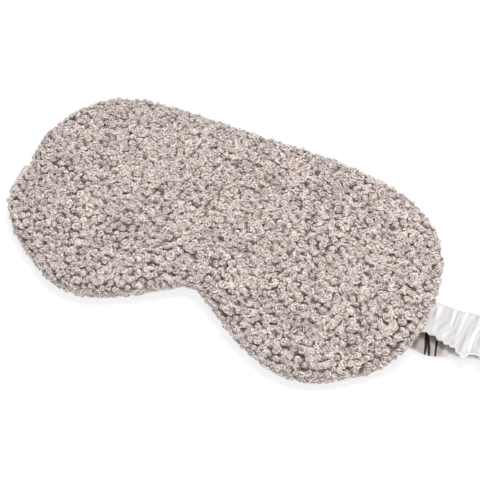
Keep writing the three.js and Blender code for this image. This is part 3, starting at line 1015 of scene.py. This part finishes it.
# Painted shade up the side of a curl of yarn, and up a dome of the ground between the curls: dark in the
# crevices, the yarn's colour at the tips.
CREVICE_SHADE_TO_TIP = [(0.0, (0.055, 0.038, 0.031)), (0.33, (0.28, 0.218, 0.192)), (0.62, (0.715, 0.621, 0.584))]
GROUND_SHADE_TO_DOME = [(0.0, (0.12, 0.088, 0.073)), (0.36, (0.36, 0.295, 0.266)), (0.82, (0.64, 0.56, 0.53))]
FELT = (0.67, 0.595, 0.56)
CLUMP_TINTS = [(0.0, (0.97, 0.965, 0.965)), (0.5, (1, 0.99, 0.98)), (1.0, (1.03, 1.015, 1.0))]
STRAND_TINTS = [(0.0, 0.81), (1.0, (1.18, 1.18, 1.175))]
FIBRE_TINTS = [(0.0, (0.55, 0.48, 0.44)), (1.0, (0.82, 0.76, 0.72))]
BACK_SATIN = (0.66, 0.62, 0.6)
# Painted shade that follows the puckers of the back: the satin is darker where a pucker rises.
PUCKER_PAINTED_SHADE = [(0.0, 1.0), (0.5, (0.87, 0.86, 0.85)), (0.9, (0.66, 0.64, 0.63))]
STRAP_SATIN = (0.85, 0.838, 0.838)
# Painted shade in the valleys of the strap's gathers and painted highlight on their crests, by gather height.
GATHER_SHADE_AND_HIGHLIGHT = [
    (0.0, (0.44, 0.42, 0.41)), (0.22, (0.63, 0.62, 0.62)), (0.52, (0.71, 0.705, 0.705)), (0.76, 0.95),
]
LIP_COLOR = (0.8, 0.79, 0.79)
LOWER_RUN_PAINTED_SHADE = (0.64, 0.58, 0.54)
CREASE_PAINTED_SHADE = (0.03, 0.022, 0.018)
CREASE_EDGE = [(0.1, 0.0), (0.7, 1.0)]


def boucle_material():
    m = Surface("boucle_yarn", (0.6, 0.52, 0.48), 0.9, Sheen_Weight=0.4, Sheen_Roughness=0.45)
    # Painted shade in the crevices between the curls, taken from each point's height up its curl.
    color = m.times(m.shades("pile_height", CREVICE_SHADE_TO_TIP), m.shades("curl_tint", CLUMP_TINTS))
    color = m.times(color, m.shades("strand_tint", STRAND_TINTS))
    color = m.mix(m.math("MULTIPLY", m.attribute("turned_under"), 0.7), color, FELT)
    color = m.times(color, m.ramp(m.noise(1700, 3.0), [(0.36, 0.55), (0.64, 1.36)]))
    m.set(Base_Color=color, Specular_IOR_Level=0.25)
    m.bump(m.noise(2600, 3.0), 0.8, 0.0004)
    return m


def ground_material():
    m = Surface("fleece_ground", (0.3, 0.25, 0.22), 0.95)
    # Painted shade on the ground between the curls, darkest at the foot of each dome.
    color = m.mix(m.attribute("turned_under"), m.shades("pile_height", GROUND_SHADE_TO_DOME), FELT)
    m.set(Base_Color=m.times(color, m.ramp(m.noise(1500, 3.0), [(0.3, 0.8), (0.7, 1.2)])))
    m.bump(m.noise(1500, 2.0), 0.8, 0.0005)
    return m


def fuzz_material():
    m = Surface("boucle_fibres", (0.68, 0.61, 0.57), 0.8, Sheen_Weight=0.3, Sheen_Roughness=0.5)
    m.set(Base_Color=m.shades("strand_tint", FIBRE_TINTS))
    return m


def satin_weave(m, color, wrinkles):
    """Fine weave over soft wrinkles. Returns the cloth's own colour."""
    weave = m.mix(0.5, m.wave(2400, "X", 1.0), m.wave(2400, "Y", 1.0))
    m.bump(m.mix(0.25, wrinkles, weave), 0.35, 0.0005)
    return m.ramp(m.noise(60, 3.0), [(0.3, tuple(0.94 * c for c in color)), (0.7, color)])


def satin_back_material():
    m = Surface("satin_back", (0.6, 0.56, 0.54), 0.33, Anisotropic=0.4, Sheen_Weight=0.15)
    color = satin_weave(m, BACK_SATIN, m.noise(160, 3.0))
    # The puckers get painted shade from their fold height.
    m.set(Base_Color=m.times(color, m.shades("fold_height", PUCKER_PAINTED_SHADE)), Sheen_Roughness=0.4)
    return m


def satin_strap_material():
    """Satin with painted shade in its gathers' valleys and painted highlight on their crests, a plain lip,
    painted shade on the run under the mask, and near-black painted shade in the creases.
    """
    m = Surface("satin_strap", STRAP_SATIN, 0.3, Anisotropic=0.5, Sheen_Weight=0.1, Sheen_Roughness=0.4)
    lengthways = m.node("Mapping", {"Vector": m.place, "Scale": (1.0, 0.16, 1.0)}).outputs["Vector"]
    color = satin_weave(m, STRAP_SATIN, m.noise(520, 3.0, lengthways))
    # The gathers get painted shade in their valleys and painted highlight on their crests.
    color = m.times(color, m.shades("gather_height", GATHER_SHADE_AND_HIGHLIGHT))
    color = m.mix(m.attribute("lip"), color, LIP_COLOR)
    # Painted shade on the run under the mask and on the left turn.
    color = m.mix(m.attribute("painted_shade"), color, m.times(color, LOWER_RUN_PAINTED_SHADE))
    # Painted shade in the creases: the colour goes near-black and the specular level drops to nothing.
    in_crease = m.shades("crease_depth", CREASE_EDGE)
    m.set(Base_Color=m.mix(in_crease, color, CREASE_PAINTED_SHADE), Specular_IOR_Level=m.mix(in_crease, 0.6, 0.0))
    return m


def woven_material(name, color, roughness, pattern, stops, relief):
    """A material whose colour and relief follow one pattern. relief is the bump's strength and height."""
    m = Surface(name, color, roughness)
    height = pattern(m)
    m.set(Base_Color=m.ramp(height, stops))
    m.bump(height, *relief)
    return m


THREAD = woven_material(
    "sewing_thread", (0.6, 0.54, 0.5), 0.6,
    lambda m: m.wave(1800, "DIAGONAL", 2.0),
    [(0.2, (0.48, 0.43, 0.4)), (0.8, (0.68, 0.62, 0.58))], (0.6, 0.0002),
)
ELASTIC = woven_material(
    "braided_elastic", (0.82, 0.81, 0.79), 0.7,
    lambda m: m.mix(0.5, m.wave(500, "X", 1.5), m.wave(640, "Y", 0.5)),
    [(0.2, (0.62, 0.61, 0.59)), (0.8, (0.86, 0.85, 0.83))], (0.7, 0.0004),
)
LINING = woven_material(
    "blackout_lining", (0.02, 0.02, 0.022), 0.85,
    lambda m: m.mix(0.5, m.wave(1500, "X"), m.wave(1500, "Y")),
    [(0.2, (0.012, 0.012, 0.014)), (0.8, (0.035, 0.034, 0.038))], (0.5, 0.0002),
)


def wadding_material():
    m = Surface("wadding", (0.85, 0.84, 0.8), 0.95)
    m.set(Base_Color=m.ramp(m.noise(300, 4.0), [(0.3, (0.74, 0.73, 0.7)), (0.7, (0.88, 0.87, 0.84))]))
    m.bump(m.noise(700, 4.0), 0.8, 0.001)
    return m


def dress(surface, *objects):
    for obj in objects:
        obj.data.materials.clear()
        obj.data.materials.append(surface.material)


for slot, surface, pieces in (
    ("boucle", boucle_material(), pile),
    ("boucle", fuzz_material(), fuzz),
    ("boucle", ground_material(), [ground]),
    ("satin_back", satin_back_material(), [back]),
    ("satin_strap", satin_strap_material(), sleeves),
    ("elastic", ELASTIC, bands),
    ("thread", THREAD, [stitches, *tube_seams]),
):
    dress(surface, *pieces)
dress(THREAD, *(NODES[name] for name in NODES if "thread" in name or "stitch" in name))
dress(wadding_material(), NODES["padding_core"])
dress(LINING, NODES["blackout_lining"])

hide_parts("front_panel")
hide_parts("closing_stitch")
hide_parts("back_panel")
for obj in (ground, back, stitches, *fuzz, *pile):
    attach(obj, "mask")


# ---- camera, floor and light ----

AZIMUTH, ELEVATION, ROLL = 30.96, 60.89, -8.0
DISTANCE = 0.5
AIM = Vector((0, 0.008, 0))
SENSOR_WIDTH = 36
LENS_PER_SENSOR = 2.23958
SHIFT = (0.038542, -0.009167)
WORLD_LIGHT = 0.6
# (name, place in metres, size, power).
LAMPS = [("key", (0.12, 0.3, 1.1), 0.35, 10.4), ("fill", (0.3, -0.65, 0.45), 0.6, 1.6)]
FLOOR_REACH, FLOOR_Z = 3000.0, -0.2
# The camera sees the floor lightened towards white: (distance from the object in metres, share of white).
FLOOR_WHITENING = [(0.35, 0.8), (0.8, 1.0)]


def make_camera():
    data = bpy.data.cameras.new("camera")
    tune(data, sensor_width=SENSOR_WIDTH, lens=LENS_PER_SENSOR * SENSOR_WIDTH, clip_start=0.01)
    data.shift_x, data.shift_y = SHIFT
    camera = new_object("camera", data)
    camera.matrix_world = Matrix.Translation(AIM)
    for angle, axis in ((AZIMUTH, "Z"), (90 - ELEVATION, "X"), (ROLL, "Z")):
        camera.matrix_world @= Matrix.Rotation(math.radians(angle), 4, axis)
    camera.matrix_world @= Matrix.Translation((0, 0, DISTANCE))
    bpy.context.scene.camera = camera


def area_light(name, place, size, watts):
    lamp = new_object(name, tune(bpy.data.lights.new(name, "AREA"), shape="DISK", size=size, energy=watts))
    lamp.location = place
    lamp.rotation_euler = (AIM - Vector(place)).to_track_quat("-Z", "Y").to_euler()


def make_world():
    """A soft even world that the camera and reflections see as white."""
    world = bpy.data.worlds.new("studio")
    world.use_nodes = True
    graph = Graph(world.node_tree)
    light, white = world.node_tree.nodes["Background"], graph.node("Background")
    for background, strength in ((light, WORLD_LIGHT), (white, 1.0)):
        graph.feed(background, {"Color": 1.0, "Strength": strength})
    graph.show_mix(graph.seen_directly(), light, white, "World Output")
    bpy.context.scene.world = world


def make_floor():
    """A pale floor that keeps the object's shadow. The camera sees it lightened, to white far away."""
    corners = [(x * FLOOR_REACH, y * FLOOR_REACH, 0) for x, y in ((-1, -1), (1, -1), (1, 1), (-1, 1))]
    floor = mesh_object("floor", corners, [(0, 1, 2, 3)])
    floor.location = (0, 0, FLOOR_Z * MM)
    m = Surface("floor_paper", (0.86, 0.86, 0.86), 0.9)
    m.set(Base_Color=m.ramp(m.noise(8, 2.0), [(0.0, 0.85), (1.0, 0.87)]))
    away = m.node("VectorMath", {0: m.place}, operation="LENGTH").outputs["Value"]
    share = m.math("MULTIPLY", m.seen_directly(), m.ramp(away, FLOOR_WHITENING))
    m.show_mix(share, m.shader, m.node("Emission"), "Material Output")
    dress(m, floor)


make_camera()
make_world()
for lamp in LAMPS:
    area_light(*lamp)
make_floor()
bpy.context.scene.view_settings.view_transform = "Standard"


# ---- sizes of the soft pieces ----

ALLOWANCES = 6.0  # the two seam allowances inside the sleeve, together

for sleeve, (_, start, end, _, _) in zip(sleeves, STRETCHES):
    cut = 2 * strap_frame(np.linspace(start, end, 200))[2] + ALLOWANCES
